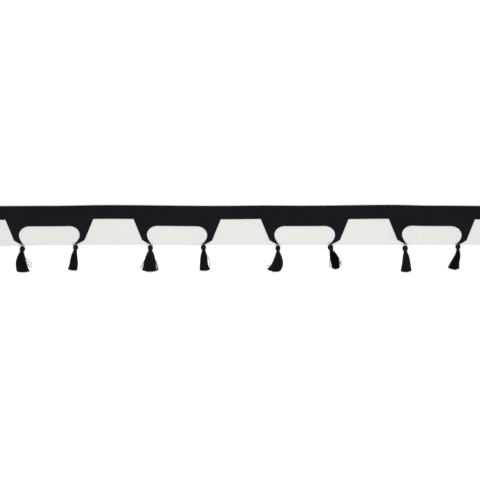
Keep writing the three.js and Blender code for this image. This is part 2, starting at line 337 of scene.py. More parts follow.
def tape_section(x):
    """The tape's outline across its width at x, anticlockwise when seen from its far end."""
    half = tape_high.y - WAVER * math.sin(x / WAVER_RUN) - DRAWN_IN
    round_edge = TAPE_THICK / 2
    right = []
    for turn in EDGE_TURNS:
        out, up = round_edge * math.cos(math.radians(turn)), round_edge * math.sin(math.radians(turn))
        right.append(Vector((x, half - round_edge + out, round_edge + up)))
    left = [Vector((x, -p.y, p.z)) for p in reversed(right)]
    face = []
    for side in (1, -1):
        for inset in TAPE_INSETS[::side]:
            y = side * (half - inset * MM)
            groove = GROOVE_DEPTH * math.exp(-(((inset - GROOVE_INSET) / GROOVE_WIDTH) ** 2))
            bump = TAPE_BUMP * noise.noise((x / TAPE_BUMP_LONG, y / TAPE_BUMP_WIDE, TAPE_BUMP_SLICE))
            face.append(Vector((x, y, TAPE_THICK - groove + bump)))
    rise = Vector((0, eased(TAPE_SWAY, x / MM) * MM, 0))
    return [p + rise for p in right + face + left]


tape_low, tape_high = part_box("ground_tape")
tape_steps = round((tape_high.x - tape_low.x) / TAPE_STEP)
tape_rings = [tape_section(tape_low.x + i * TAPE_STEP) for i in range(tape_steps + 1)]
ring_size = len(tape_rings[0])
tape_faces = [tuple(reversed(range(ring_size)))]
tape_faces.append(tuple(tape_steps * ring_size + k for k in range(ring_size)))
for ring in range(tape_steps):
    for k in range(ring_size):
        here, beside = ring * ring_size + k, ring * ring_size + (k + 1) % ring_size
        tape_faces.append((here, beside, beside + ring_size, here + ring_size))
tape_mesh = bpy.data.meshes.new("ivory_ground_tape")
tape_mesh.from_pydata([p for ring in tape_rings for p in ring], [], tape_faces)
tape_mesh.shade_smooth()
tape_mesh.set_sharp_from_angle(angle=SHARP_ANGLE)
weave_nodes = plain_weave_group()
ivory_cotton = fibre_material(
    "ivory_cotton",
    weave_nodes,
    {"Yarn pitch": TAPE_YARN, "Unevenness": 0.35 * MM, "Patch scale": 1 / (40 * MM)},
    shade=IVORY_SHADE,
    light=IVORY,
    bump=0.35,
    depth=YARN_RELIEF * TAPE_YARN,
    Roughness=0.9,
    Specular_IOR_Level=0.15,
    Sheen_Weight=0.1,
    Sheen_Roughness=0.5,
)
end_half = tape_high.y - TAPE_THICK / 2
tape_ends = [
    [Vector((x, y + eased(TAPE_SWAY, x / MM) * MM, TAPE_THICK / 2)) for y in (-end_half, end_half)]
    for x in (tape_low.x, tape_high.x)
]
end_nodes = cut_end_tree()
tape_yarns = grown(
    "tape_end_yarns",
    end_nodes,
    tape_ends,
    {
        "Yarn pitch": TAPE_YARN,
        "Yarn radius": TAPE_END_RADIUS,
        "Reach": TAPE_END_REACH,
        "Rise": TAPE_END_RISE,
        "Seed": 11,
        "Material": ivory_cotton,
    },
)
selvedges = [
    [ring[point] - Vector((0, side * TURN_INSET, 0)) for ring in tape_rings]
    for side, point in ((1, EDGE_POINT), (-1, ring_size - 1 - EDGE_POINT))
]
laid_nodes = laid_thread_tree()
tape_turns = grown(
    "selvedge_turns",
    laid_nodes,
    selvedges,
    {
        "Pitch": TURN_PITCH,
        "Length": TURN_LENGTH,
        "Width": TURN_WIDTH,
        "Height": TURN_HEIGHT,
        "Slant": TURN_SLANT,
        "Seed": 5,
        "Material": ivory_cotton,
    },
)
tape_whole = merged("ivory_ground_tape", tape_mesh, tape_yarns, tape_turns)
tape = add_piece("ivory_ground_tape", tape_whole, ivory_cotton, "ivory_tape", "ground_tape")


# Pagoda border: one strip of black cotton cut with a straight band above and four roofs below, each
# with an arch and two hooked eaves. It lies on the tape's face, a little uneven, and is sewn down.
# Its drawing is in millimetres, with heights above the tape's lower edge.
REPEAT = 160
BORDER_TOP, BAND_FOOT, SHOULDER = 49.4, 32.9, 54.8
# An eave: the knee where the roof's flank turns into it, the point that its back sags towards, and its tip.
KNEE, SAG, SAG_STEPS = (44, 6.5), (39.6, 3.3), 8
TIP_OUT, TIP_UP, TIP_WIDTH, TIP_LEAN = 33.1, 1.05, 1.2, -0.5
ARCH_TOP, ARCH_HALF, ARCH_RADIUS, ARCH_TURN, ARCH_STEPS = 24, 37.9, 11.3, math.radians(30), 20
ARCH_EASE = 13.3  # how far in from its side the arch's crown begins to fall
ROOFS = [(0.0, 1.007), (0.13, 0.999), (0.2, 1.006), (-0.45, 0.988)]  # shift and spread of each
FOOT_SLACK = [0.45, 0.5, 0.15, 0.65, 0.1]  # how low the band's foot lies on each stretch between roofs
# The border's rise at places along the tape.
BORDER_SWAY = [
    (-320, -0.65), (-240, -0.28), (-165, 0.7), (-30, -0.3), (30, 0.17),
    (75, -0.05), (190, 0.95), (240, 0.03), (320, -0.45),
]
OUTLINE_STEP, EDGE_SAMPLE = 1.2, 0.3  # between the outline's points, and the places it is measured from
CUT_SPREAD = 0.15  # how far the cut edge's yarns spread
BORDER_UNDERSIDE, BORDER_THICK = 1.04, 1.0
EDGE_LIP, EDGE_ROUND = 0.35, 0.7  # the upright part of the cut edge, and the width of its round part
SEAM_INSET, SEAM_WIDTH, SEAM_DIMPLE = 1.5, 0.4, 0.16
# The face's ripples: their height, their size along and across, how far in from the edge they grow, and
# their slice of the noise.
RIPPLE, RIPPLE_LONG, RIPPLE_WIDE, RIPPLE_GROW, RIPPLE_SLICE = 0.07, 28, 11, 3, 2.5
# Rows of points inside the outline: how far in, and how many of the outline's points go to one of theirs.
CLOTH_ROWS = [
    (0.1, 1), (0.3, 1), (0.6, 1), (1.1, 1), (1.5, 1), (1.9, 1), (2.6, 2),
    (4.5, 4), (7, 5), (10, 6), (12.2, 8),
]
ROW_CLEAR = 0.9  # the share of its inset that a row's point keeps from every edge
# Faces are kept inside the outline; points nearer than this are one, and those nearer an end are at it.
FACES_INSIDE, SAME_PLACE, AT_END = 1, 1e-4, 0.01
CLOTH_YARN = 0.4 * MM
CLOTH_END_RADIUS, CLOTH_END_REACH, CLOTH_END_RISE = 0.18 * MM, 0.4 * MM, 0.07 * MM
CLOTH_END_UP = 0.26  # the yarn ends' height over the border's underside
BLACK, BLACK_SHADE = (0.0108, 0.0102, 0.0133, 1), (0.0057, 0.0053, 0.0074, 1)


def roof_middle(roof):
    """The place of a roof's middle along the tape."""
    return (roof - (len(ROOFS) - 1) / 2) * REPEAT + ROOFS[roof][0]


def half_roof(side, foot):
    """A roof's lower edge from the crown of its arch out to one shoulder, drawn to the right."""
    arch_middle = ARCH_TOP - ARCH_RADIUS
    edge = []
    for i in range(ARCH_STEPS + 1):
        turn = math.pi / 2 - i / ARCH_STEPS * (math.pi / 2 + ARCH_TURN)
        inward = (ARCH_EASE if turn > 0 else ARCH_RADIUS) * (1 - math.cos(turn))
        edge.append((ARCH_HALF - inward, arch_middle + ARCH_RADIUS * math.sin(turn)))
    tip_middle = TIP_OUT + side * TIP_LEAN
    edge.append((tip_middle - TIP_WIDTH / 2, TIP_UP))
    tip = (tip_middle + TIP_WIDTH / 2, TIP_UP)
    for i in range(SAG_STEPS + 1):
        t = i / SAG_STEPS
        weights = ((1 - t) ** 2, 2 * t * (1 - t), t**2)
        edge.append(tuple(sum(w * p[k] for w, p in zip(weights, (tip, SAG, KNEE))) for k in (0, 1)))
    flank_rise = (foot - KNEE[1]) / (BAND_FOOT - KNEE[1])
    return edge + [(KNEE[0] + flank_rise * (SHOULDER - KNEE[0]), foot)]


def spaced(points, step):
    """A closed outline with no two neighbours further apart than the step."""
    found = []
    for here, ahead in zip(points, points[1:] + points[:1]):
        pieces = max(1, math.ceil((ahead - here).length / step))
        found += [here.lerp(ahead, k / pieces) for k in range(pieces)]
    return found


def border_outline():
    """The border's cut edge on the tape, anticlockwise from its top left corner."""
    end = tape_high.x / MM
    feet = [BAND_FOOT - slack for slack in FOOT_SLACK]
    points = [(-end, BORDER_TOP), (-end, feet[0])]
    for number, (_, spread) in enumerate(ROOFS):
        for side, foot in ((-1, feet[number]), (1, feet[number + 1])):
            edge = half_roof(side, foot)[::side]
            points += [(roof_middle(number) + side * spread * x, y) for x, y in edge]
    points += [(end, feet[-1]), (end, BORDER_TOP)]
    foot = tape_low.y / MM
    even = spaced([Vector(p) for p in points], OUTLINE_STEP)
    found = []
    for before, here, ahead in zip(even[-1:] + even, even, even[1:] + even[:1]):
        along = (ahead - before).normalized()
        x = min(end, max(-end, here.x + CUT_SPREAD * along.y))
        found.append(Vector((x, here.y - CUT_SPREAD * along.x + eased(BORDER_SWAY, here.x) + foot)))
    return found


def from_edge(place):
    """How far a place is from the border's edge."""
    return edge_tree.find(place.to_3d())[2]


def row_inside(inset, keep):
    """Points that far in from the border's edge, in its outline's order."""
    found = []
    for i in range(0, len(outline), keep):
        along = outline[(i + 1) % len(outline)] - outline[i - 1]
        place = outline[i] + inset * Vector((-along.y, along.x)).normalized()
        if from_edge(place) > ROW_CLEAR * inset:
            found.append(place)
    return found


def on_face(place, inset):
    """The point of the border's face, in metres, at a place that far in from its edge."""
    rounded = math.sqrt(1 - (1 - min(1, inset / EDGE_ROUND)) ** 2)
    dimple = SEAM_DIMPLE * math.exp(-(((inset - SEAM_INSET) / SEAM_WIDTH) ** 2))
    wave = noise.noise((place.x / RIPPLE_LONG, place.y / RIPPLE_WIDE, RIPPLE_SLICE))
    ripple = RIPPLE * wave * min(1, inset / RIPPLE_GROW)
    height = BORDER_UNDERSIDE + EDGE_LIP + (BORDER_THICK - EDGE_LIP) * rounded - dimple + ripple
    return Vector((place.x, place.y, height)) * MM


outline = border_outline()
edge_samples = spaced(outline, EDGE_SAMPLE)
edge_tree = kdtree.KDTree(len(edge_samples))
for index, sample in enumerate(edge_samples):
    edge_tree.insert(sample.to_3d(), index)
edge_tree.balance()
cloth_points = outline + [p for inset, keep in CLOTH_ROWS for p in row_inside(inset, keep)]
outline_loop = [(i, (i + 1) % len(outline)) for i in range(len(outline))]
plan, _, plan_faces, sources, _, _ = delaunay_2d_cdt(
    cloth_points, outline_loop, [], FACES_INSIDE, SAME_PLACE
)
tops = [on_face(p, from_edge(p)) for p in plan]
bottoms = [Vector((p.x, p.y, BORDER_UNDERSIDE)) * MM for p in plan]
below = len(plan)
at_outline = {source: i for i, given in enumerate(sources) for source in given if source < len(outline)}
border_faces = [tuple(face) for face in plan_faces]
border_faces += [tuple(below + i for i in reversed(face)) for face in plan_faces]
for start, stop in outline_loop:
    here, ahead = at_outline[start], at_outline[stop]
    border_faces.append((below + here, below + ahead, ahead, here))
border_mesh = bpy.data.meshes.new("black_pagoda_border")
border_mesh.from_pydata(tops + bottoms, [], border_faces)
border_mesh.shade_smooth()
border_mesh.set_sharp_from_angle(angle=SHARP_ANGLE)
black_cotton = fibre_material(
    "black_cotton",
    weave_nodes,
    {"Yarn pitch": CLOTH_YARN, "Unevenness": 0.25 * MM, "Patch scale": 1 / (30 * MM)},
    shade=BLACK_SHADE,
    light=BLACK,
    bump=0.4,
    depth=YARN_RELIEF * CLOTH_YARN,
    Roughness=0.85,
    Specular_IOR_Level=0.06,
    Sheen_Weight=0.02,
    Sheen_Roughness=0.4,
)
border_ends = []
for x in (tape_low.x / MM, tape_high.x / MM):
    at_end = [p.y for p in outline if abs(p.x - x) < AT_END]
    end_up = BORDER_UNDERSIDE + CLOTH_END_UP
    border_ends.append([Vector((x, y, end_up)) * MM for y in (min(at_end), max(at_end))])
border_yarns = grown(
    "border_end_yarns",
    end_nodes,
    border_ends,
    {
        "Yarn pitch": CLOTH_YARN,
        "Yarn radius": CLOTH_END_RADIUS,
        "Reach": CLOTH_END_REACH,
        "Rise": CLOTH_END_RISE,
        "Seed": 17,
        "Material": black_cotton,
    },
)
border_whole = merged("black_pagoda_border", border_mesh, border_yarns)
border = add_piece("black_pagoda_border", border_whole, black_cotton, "black_cloth", "pagoda_border")


# Border seam: the line of black machine stitches that holds the border on the tape, close inside
# its cut edge. Each stitch is a short length of thread that dips into the cloth at both ends.
STITCH_PITCH, STITCH_LENGTH, STITCH_THICK = 2.6 * MM, 2.1 * MM, 0.34 * MM
SEAM_BLACK, SEAM_BLACK_SHADE = (0.012, 0.0115, 0.014, 1), (0.006, 0.006, 0.0075, 1)
# Spun thread's fuzz: its tufts in a metre, how far they change the tone and the gloss, and their relief.
FUZZ_TUFTS, FUZZ_TONES, FUZZ_GLOSS, FUZZ_BUMP, FUZZ_DEPTH = 1600.0, 0.4, 0.2, 0.2, 0.05 * MM


def thread_fuzz_group():
    """Fine fuzz on spun thread, over the tone that its mesh gives each thread."""
    tree, given, out = new_tree(
        "thread_fuzz",
        "ShaderNodeTree",
        {"Roughness": "Float"},
        {"Height": "Float", "Tone": "Float", "Roughness": "Float"},
    )
    place = put(tree, "ShaderNodeTexCoord").outputs["Object"]
    noisy = put(tree, "ShaderNodeTexNoise", {"Vector": place, "Scale": FUZZ_TUFTS, "Detail": 2.0})
    fuzz = noisy.outputs["Fac"]
    thread_tone = put(tree, "ShaderNodeAttribute", attribute_name="thread_tone").outputs["Fac"]
    fuzz_tone = calc(tree, "MULTIPLY_ADD", fuzz, FUZZ_TONES, -FUZZ_TONES / 2)
    fuzz_gloss = calc(tree, "MULTIPLY_ADD", fuzz, FUZZ_GLOSS, -FUZZ_GLOSS / 2)
    tone = calc(tree, "ADD", thread_tone, fuzz_tone)
    gloss = calc(tree, "ADD", given["Roughness"], fuzz_gloss)
    feed(tree, out, {"Height": fuzz, "Tone": tone, "Roughness": gloss})
    return tree


fuzz_nodes = thread_fuzz_group()
seam_thread = fibre_material(
    "black_seam_thread",
    fuzz_nodes,
    {"Roughness": 0.6},
    shade=SEAM_BLACK_SHADE,
    light=SEAM_BLACK,
    bump=FUZZ_BUMP,
    depth=FUZZ_DEPTH,
    Specular_IOR_Level=0.1,
)
seam_mesh = grown(
    "border_seam",
    laid_nodes,
    [[on_face(p, SEAM_INSET) for p in row_inside(SEAM_INSET, 1)]],
    {
        "Pitch": STITCH_PITCH,
        "Length": STITCH_LENGTH,
        "Width": STITCH_THICK,
        "Height": STITCH_THICK,
        "Slant": 0.0,
        "Seed": 3,
        "Material": seam_thread,
    },
    closed=True,
)
stitches = add_piece("border_seam", seam_mesh, seam_thread, "black_cloth")


# Tassels: one hung from the tip of every eave. A hank of black rayon thread is folded over its hanging
# loop and bound below the fold, which leaves a ball head, a wound neck and a skirt of cut threads.
# The sizes are in millimetres; a tassel is placed from the tip of its eave.
THREAD_SIDES = 5
CLEARANCE = 0.3  # how far a head and its loop keep off the cloth
# The head's threads: the points down each, where the ball ends, and how far they swirl round it and tuck
# in at the neck; then their tone, set lighter than most skirts' as a painted sheen, and how far it differs.
HEAD_THREADS, HEAD_THREAD_RADIUS, HEAD_STEPS = 46, 0.24, 14
HEAD_FOOT, HEAD_SWIRL, HEAD_TUCK = math.radians(-55), 0.5, 0.25
HEAD_SHEEN_TONE, HEAD_TONES = 1.0, 0.25
HEAD_LIFT, NECK_SINK = 0.1, 0.8
# The binding's turns, and the points drawn in each.
BINDING_TURNS, BINDING_POINTS, BINDING_PITCH, BINDING_STEP = 5, 12, 0.38, 0.9
BINDING_RADIUS, BINDING_TONE = 0.21, 0.4
LOOP_HOLD, LOOP_RADIUS, LOOP_PLY_RADIUS, LOOP_PITCH, LOOP_STEP = 1.5, 0.23, 0.135, 1.3, 0.25
# Each tassel's lie: the head's place across and below the eave's tip, its radius and its roundness; the
# loop's foot from the head's middle and its half width; the neck's place from the head and its radius; the
# skirt's length; the places of its left and right edges at three stations down it; how far the hem is
# clipped up at its left and right corners; and the tone of the thread.
TASSELS = [
    (
        (0.16, 5.45, 3.35, 0.75), (1.3, 0.3), (-0.82, 3.8, 2.2),
        25.5, (-5.85, -7.4, -5.8), (3.9, 5.2, 10.9), (0.7, 0.3), 0.6,
    ),
    (
        (0.19, 3.95, 3.35, 0.95), (-0.9, 0.3), (-0.42, 3.8, 1.8),
        25.3, (-4.85, -6.25, -10.3), (2.25, 2.8, 1.85), (0.8, 0.0), 0.7,
    ),
    (
        (0.14, 4.9, 3.4, 0.95), (0.0, 0.3), (-0.04, 3.4, 2.0),
        26.65, (-5.5, -7.35, -11.7), (5.05, 6.05, 9.4), (0.9, 0.7), 1.15,
    ),
    (
        (0.6, 3.85, 3.4, 1.0), (-1.0, 0.3), (0.35, 4.4, 1.95),
        24.75, (-3.75, -4.45, -5.2), (3.95, 4.5, 9.1), (0.6, 1.2), 0.75,
    ),
    (
        (0.24, 4.95, 3.15, 0.7), (0.5, 0.3), (0.0, 4.2, 1.65),
        25.8, (-3.8, -6.35, -16.6), (4.7, 5.95, 2.45), (0.7, 1.4), 1.15,
    ),
    (
        (-0.6, 4.1, 3.55, 0.95), (-0.9, 0.3), (1.53, 4.4, 2.15),
        23.4, (-2.2, -1.2, 0.8), (7.4, 9.2, 11.1), (1.6, 1.1), 0.1,
    ),
    (
        (-0.34, 5.85, 3.4, 0.7), (0.7, 1.3), (0.4, 4.2, 1.95),
        25.6, (-3.2, -3.8, -6.75), (4.45, 5.9, 7.95), (1.2, 1.05), 1.0,
    ),
    (
        (0.33, 2.8, 3.3, 0.9), (-0.33, 0.3), (0.08, 4.7, 1.75),
        24.5, (-3.75, -7.1, -12.9), (2.95, 2.35, 2.3), (0.0, 1.9), 0.3,
    ),
]
SKIRT_THREADS, SKIRT_THREAD_RADIUS, SKIRT_THREAD_SIDES = 300, 0.21, 4
SKIRT_STEPS, GUIDE_STEPS = 12, 20
EDGE_STATIONS = (0, 0.25, 0.5, 1)  # the neck, and the three stations down the skirt
ROOT_INSET, FULLNESS = 0.2, 0.1
# The skirt's sections: the share of its length, of the neck's height that is left, and its depth.
SKIRT_SECTIONS = [(0, 1, 2.2), (0.12, 0.45, 2.9), (0.4, 0, 3.4), (0.7, 0, 3.1), (1, 0, 2.6)]
SKIRT_TOP_SPREAD = 0.6  # the width of its upper face as a share of its foot's
SKIRT_SETTLE = 1.4  # how far the threads settle towards the floor
HEM_UNEVEN = 0.03  # as a share of the length
SKIRT_WAVE, WAVE_TURN = 0.35, 7.0
# How far the threads of a skirt differ in tone, the darkest of them, and how much lighter the hem is.
SKIRT_TONES, SKIRT_DARKEST, HEM_LIGHT = 0.5, -0.3, 0.15
SEEDS_APART = 100  # from one skirt's seed to the next
# Threads that have worked loose from a skirt, under the tassel's number: their places from its neck.
STRAYS = {
    1: [
        ((3.4, -6.6), (6.6, -9.2), (10.6, -12.6)),
        ((4.0, -7.4), (7.6, -10.6), (12.8, -13.4)),
        ((5.2, -11.5), (8.8, -13.6), (11.8, -16.8), (12.4, -20.2)),
        ((6.0, -15.5), (9.0, -16.2), (12.6, -14.0)),
        ((6.4, -16.0), (9.6, -19.2), (12.2, -17.6)),
        ((5.4, -12.5), (8.6, -16.4), (10.2, -20.0)),
    ],
    3: [
        ((-6.4, -10.4), (-9.0, -15.0), (-13.1, -23.6)),
        ((-6.6, -11.2), (-9.8, -16.6), (-12.8, -23.2)),
        ((-6.5, -10.8), (-9.3, -15.8), (-12.7, -21.8)),
        ((-6.9, -11.6), (-9.0, -16.4), (-11.0, -21.6)),
        ((-6.6, -10.6), (-9.6, -16.0), (-12.6, -21.6)),
        ((-6.7, -11.0), (-9.2, -16.4), (-9.9, -20.0)),
        ((5.2, -9.6), (7.0, -15.8), (8.8, -24.6)),
        ((5.4, -9.6), (7.3, -16.2), (9.2, -24.4)),
        ((5.6, -10.6), (8.0, -16.8), (10.2, -24.0)),
        ((5.9, -11.0), (8.5, -16.8), (11.2, -23.6)),
        ((5.3, -10.0), (7.1, -16.0), (9.0, -24.7)),
        ((5.5, -10.2), (7.5, -16.6), (9.5, -24.5)),
        ((5.8, -11.0), (8.2, -17.2), (10.0, -24.8)),
        ((6.2, -11.6), (10.0, -15.2), (11.4, -16.2)),
    ],
    4: [
        ((2.8, -3.4), (6.2, -8.2), (7.2, -14.0), (7.6, -21.4)),
        ((3.4, -5.6), (6.4, -10.6), (7.1, -16.0), (7.3, -22.0)),
    ],
    5: [
        ((-7.4, -15.0), (-11.0, -17.2), (-15.6, -18.5)),
        ((-8.2, -17.0), (-12.0, -19.2), (-15.9, -16.6)),
        ((-9.0, -19.2), (-13.4, -21.2), (-17.0, -22.4)),
        ((4.4, -8.0), (6.7, -13.0), (6.0, -20.6), (6.9, -25.2)),
    ],
    6: [
        ((-2.1, -8.5), (-3.2, -14.0), (-3.0, -18.6), (-2.6, -21.2)),
        ((-1.8, -10.5), (-2.5, -15.6), (-1.8, -21.6)),
        ((-0.9, -11.0), (-1.2, -16.0), (-1.5, -20.6)),
        ((6.9, -6.2), (10.2, -9.8), (11.9, -14.0), (12.8, -17.8)),
        ((7.6, -8.0), (10.9, -13.2), (11.5, -17.2), (12.2, -20.4)),
        ((7.6, -9.0), (11.0, -14.8), (14.1, -13.2)),
        ((8.2, -11.0), (11.3, -15.8), (11.9, -17.8)),
        ((8.4, -11.6), (11.2, -15.4), (11.7, -17.6)),
        ((8.6, -13.0), (11.2, -16.8), (13.0, -17.4)),
    ],
    7: [((3.4, -3.6), (5.9, -6.4), (6.6, -8.6))],
    8: [((-5.4, -10.0), (-9.2, -14.9), (-13.2, -20.4))],
}
# A loose thread's height: at the neck, how far down it goes to fall by one, and its least, in radii.
STRAY_RADIUS, STRAY_STEP, STRAY_UP, STRAY_FALL, STRAY_LEAST = 0.17, 1.0, 2, 8, 1.5
RAYON_BLACK, RAYON_BLACK_SHADE = (0.0125, 0.0121, 0.0137, 1), (0.0012, 0.0012, 0.0013, 1)


def spin_threads(tree, given, out, lines, tone, sides, radius):
    """Ends a tree of lines: each a thread with its own tone, number of sides and radius."""
    toned = put(
        tree,
        "GeometryNodeStoreNamedAttribute",
        {"Geometry": lines, "Name": "thread_tone", "Value": tone},
        data_type="FLOAT",
        domain="POINT",
    )
    section = put(tree, "GeometryNodeCurvePrimitiveCircle", {"Resolution": sides, "Radius": given[radius]})
    spun = put(
        tree, "GeometryNodeCurveToMesh", {"Curve": toned, "Profile Curve": section, "Fill Caps": True}
    )
    return finish_tree(tree, given, out, spun)


def copies(tree, line, amount):
    """Copies of a line, with each copy's number as the second output."""
    return put(tree, "GeometryNodeDuplicateElements", {"Geometry": line, "Amount": amount}, domain="SPLINE")


def skirt_tree():
    """Threads from a tassel's neck to its hem, spread at random between four guide lines."""
    tree, given, out = shape_tree(
        "skirt_threads",
        ["Thread radius", "Left corner", "Right corner", "Hem unevenness", "Wave", "Tone"],
        ["Threads", "Steps", "Seed"],
    )
    guides = put(tree, "GeometryNodeMeshToCurve", {"Mesh": given["Lines"]})
    line = put(tree, "GeometryNodeCurvePrimitiveLine")
    stepped = put(tree, "GeometryNodeResampleCurve", {"Curve": line, "Count": given["Steps"]}, mode="COUNT")
    threads = copies(tree, stepped, given["Threads"])

    def chance(draw):
        """A number from 0 to 1 for each thread, another one for each draw."""
        feeds = {"ID": threads.outputs["Duplicate Index"], "Seed": calc(tree, "ADD", given["Seed"], draw)}
        return put(tree, "FunctionNodeRandomValue", feeds, data_type="FLOAT").outputs[1]

    across = calc(tree, "SINE", calc(tree, "MULTIPLY_ADD", chance(0), math.pi, -math.pi / 2))
    side = calc(tree, "MULTIPLY_ADD", across, 0.5, 0.5)
    layer = calc(tree, "POWER", chance(1), SKIRT_SETTLE)

    def mixed(share, first, second):
        """The place that share of the way from the first to the second."""
        return put(tree, "ShaderNodeMix", {0: share, 4: first, 5: second}, data_type="VECTOR").outputs[1]

    def between(guide, place_down):
        """The thread's place between one guide line and the next, that share of the way down them."""
        ends = [
            put(
                tree,
                "GeometryNodeSampleCurve",
                {"Curves": guides, "Factor": place_down, "Curve Index": index},
                mode="FACTOR",
                use_all_curves=False,
            ).outputs["Position"]
            for index in (guide, guide + 1)
        ]
        return mixed(side, *ends)

    run = put(tree, "ShaderNodeVectorMath", {0: between(0, 1.0), 1: between(0, 0.0)}, operation="SUBTRACT")
    run_along = put(tree, "ShaderNodeSeparateXYZ", {0: run}).outputs
    slant = calc(tree, "DIVIDE", run_along["X"], run_along["Y"])
    upright = calc(tree, "INVERSE_SQRT", calc(tree, "MULTIPLY_ADD", slant, slant, 1.0))
    to_right = calc(tree, "GREATER_THAN", across, 0.0)
    corner = put(tree, "ShaderNodeMix", {0: to_right, 2: given["Left corner"], 3: given["Right corner"]})
    clipped = calc(tree, "MULTIPLY", corner, calc(tree, "MULTIPLY", across, across))
    uneven = calc(tree, "SUBTRACT", chance(2), 0.5)
    shorter = calc(tree, "MULTIPLY_ADD", uneven, given["Hem unevenness"], clipped)
    share = put(tree, "GeometryNodeSplineParameter").outputs["Factor"]
    down = calc(tree, "MULTIPLY", share, calc(tree, "SUBTRACT", upright, shorter))
    place = mixed(layer, between(0, down), between(2, down))
    phase = calc(tree, "MULTIPLY_ADD", down, WAVE_TURN, calc(tree, "MULTIPLY", chance(3), 2 * math.pi))
    swing = calc(tree, "MULTIPLY", calc(tree, "MULTIPLY", given["Wave"], down), calc(tree, "SINE", phase))
    swung = put(tree, "ShaderNodeCombineXYZ", {0: swing})
    hung = put(tree, "GeometryNodeSetPosition", {"Geometry": threads, "Position": place, "Offset": swung})
    own_tone = calc(tree, "MULTIPLY_ADD", chance(4), SKIRT_TONES, SKIRT_DARKEST)
    tone = calc(tree, "ADD", given["Tone"], calc(tree, "MULTIPLY_ADD", down, HEM_LIGHT, own_tone))
    return spin_threads(tree, given, out, hung, tone, SKIRT_THREAD_SIDES, "Thread radius")


def plied_tree():
    """Thread of one or more twisted plies, smooth along its guide lines."""
    tree, given, out = shape_tree(
        "plied_thread", ["Ply radius", "Ply offset", "Twist pitch", "Step", "Tone"], ["Plies"]
    )
    lines = put(tree, "GeometryNodeMeshToCurve", {"Mesh": given["Lines"]})
    smooth = put(tree, "GeometryNodeCurveSplineType", {"Curve": lines}, spline_type="CATMULL_ROM")
    stepped = put(
        tree, "GeometryNodeResampleCurve", {"Curve": smooth, "Length": given["Step"]}, mode="LENGTH"
    )
    plies = copies(tree, stepped, given["Plies"])
    length = put(tree, "GeometryNodeSplineParameter").outputs["Length"]
    twist = calc(tree, "DIVIDE", length, given["Twist pitch"])
    turns = calc(
        tree, "ADD", twist, calc(tree, "DIVIDE", plies.outputs["Duplicate Index"], given["Plies"])
    )
    outward = put(
        tree,
        "ShaderNodeVectorRotate",
        {
            "Vector": put(tree, "GeometryNodeInputNormal"),
            "Axis": put(tree, "GeometryNodeInputTangent"),
            "Angle": calc(tree, "MULTIPLY", turns, 2 * math.pi),
        },
        rotation_type="AXIS_ANGLE",
    )
    offset = put(
        tree, "ShaderNodeVectorMath", {0: outward, "Scale": given["Ply offset"]}, operation="SCALE"
    )
    twisted = put(tree, "GeometryNodeSetPosition", {"Geometry": plies, "Offset": offset})
    return spin_threads(tree, given, out, twisted, given["Tone"], THREAD_SIDES, "Ply radius")


def head_tree():
    """Threads laid side by side round an axis, each along the same guide line."""
    tree, given, out = shape_tree("folded_head", ["Thread radius", "Swirl", "Tone"], ["Threads", "Seed"])
    line = put(tree, "GeometryNodeMeshToCurve", {"Mesh": given["Lines"]})
    threads = copies(tree, line, given["Threads"])
    number = threads.outputs["Duplicate Index"]
    place_round = calc(tree, "DIVIDE", calc(tree, "MULTIPLY", number, 2 * math.pi), given["Threads"])
    share = put(tree, "GeometryNodeSplineParameter").outputs["Factor"]
    angle = calc(tree, "ADD", place_round, calc(tree, "MULTIPLY", share, given["Swirl"]))
    here = put(tree, "GeometryNodeInputPosition")
    turned = put(tree, "ShaderNodeVectorRotate", {"Vector": here, "Angle": angle}, rotation_type="Z_AXIS")
    laid = put(tree, "GeometryNodeSetPosition", {"Geometry": threads, "Position": turned})
    draw = put(
        tree,
        "FunctionNodeRandomValue",
        {2: -HEAD_TONES, 3: HEAD_TONES, "ID": number, "Seed": given["Seed"]},
        data_type="FLOAT",
    )
    tone = calc(tree, "ADD", given["Tone"], draw.outputs[1])
    return spin_threads(tree, given, out, laid, tone, THREAD_SIDES, "Thread radius")


def height_over(edge_height, radius, distance):
    """The height at which a head clears an edge, where it lies over it and not beside it."""
    clear = radius + CLEARANCE
    return edge_height + math.sqrt(clear**2 - distance**2) if distance < clear else 0


def head_line(radius, roundness, neck_radius, neck_down):
    """One thread of a head, from its crown over the ball and in at the neck."""
    reach = radius - HEAD_THREAD_RADIUS
    line = []
    for i in range(HEAD_STEPS + 1):
        turn = math.pi / 2 + (HEAD_FOOT - math.pi / 2) * i / HEAD_STEPS
        out, up = abs(math.cos(turn)) ** roundness, abs(math.sin(turn)) ** roundness
        line.append(reach * Vector((out, 0, math.copysign(up, turn))))
    return line + [Vector((neck_radius - HEAD_TUCK, 0, -neck_down))]


def binding_line(radius):
    """The binding, wound up round the neck."""
    line = []
    for i in range(BINDING_TURNS * BINDING_POINTS + 1):
        turn = 2 * math.pi * i / BINDING_POINTS
        up = BINDING_PITCH * i / BINDING_POINTS
        line.append(Vector((radius * math.cos(turn), radius * math.sin(turn), up)))
    return line


def loop_line(head, head_radius, aside, half):
    """The hanging loop: out of the head, over the eave's tip and back down beside itself."""
    top = border_face + CLEARANCE + LOOP_RADIUS
    leg_foot = head.y + head_radius / 2
    leg_middle = (leg_foot + head_radius / 2 + LOOP_HOLD) / 2
    foot_x = head.x + aside
    leg = [
        Vector((foot_x - half, leg_foot, head.z)),
        Vector((foot_x / 2 - half, leg_middle, (head.z + top) / 2)),
    ]
    shift = Vector((2 * half, 0, 0))
    return leg + [Vector((0, LOOP_HOLD, top))] + [p + shift for p in reversed(leg)]


def edge_at(share, places):
    """An edge of the skirt: the smooth curve through its places at the stations."""
    total = 0
    for i, place in enumerate(places):
        others = [s for k, s in enumerate(EDGE_STATIONS) if k != i]
        total += place * math.prod((share - s) / (EDGE_STATIONS[i] - s) for s in others)
    return total


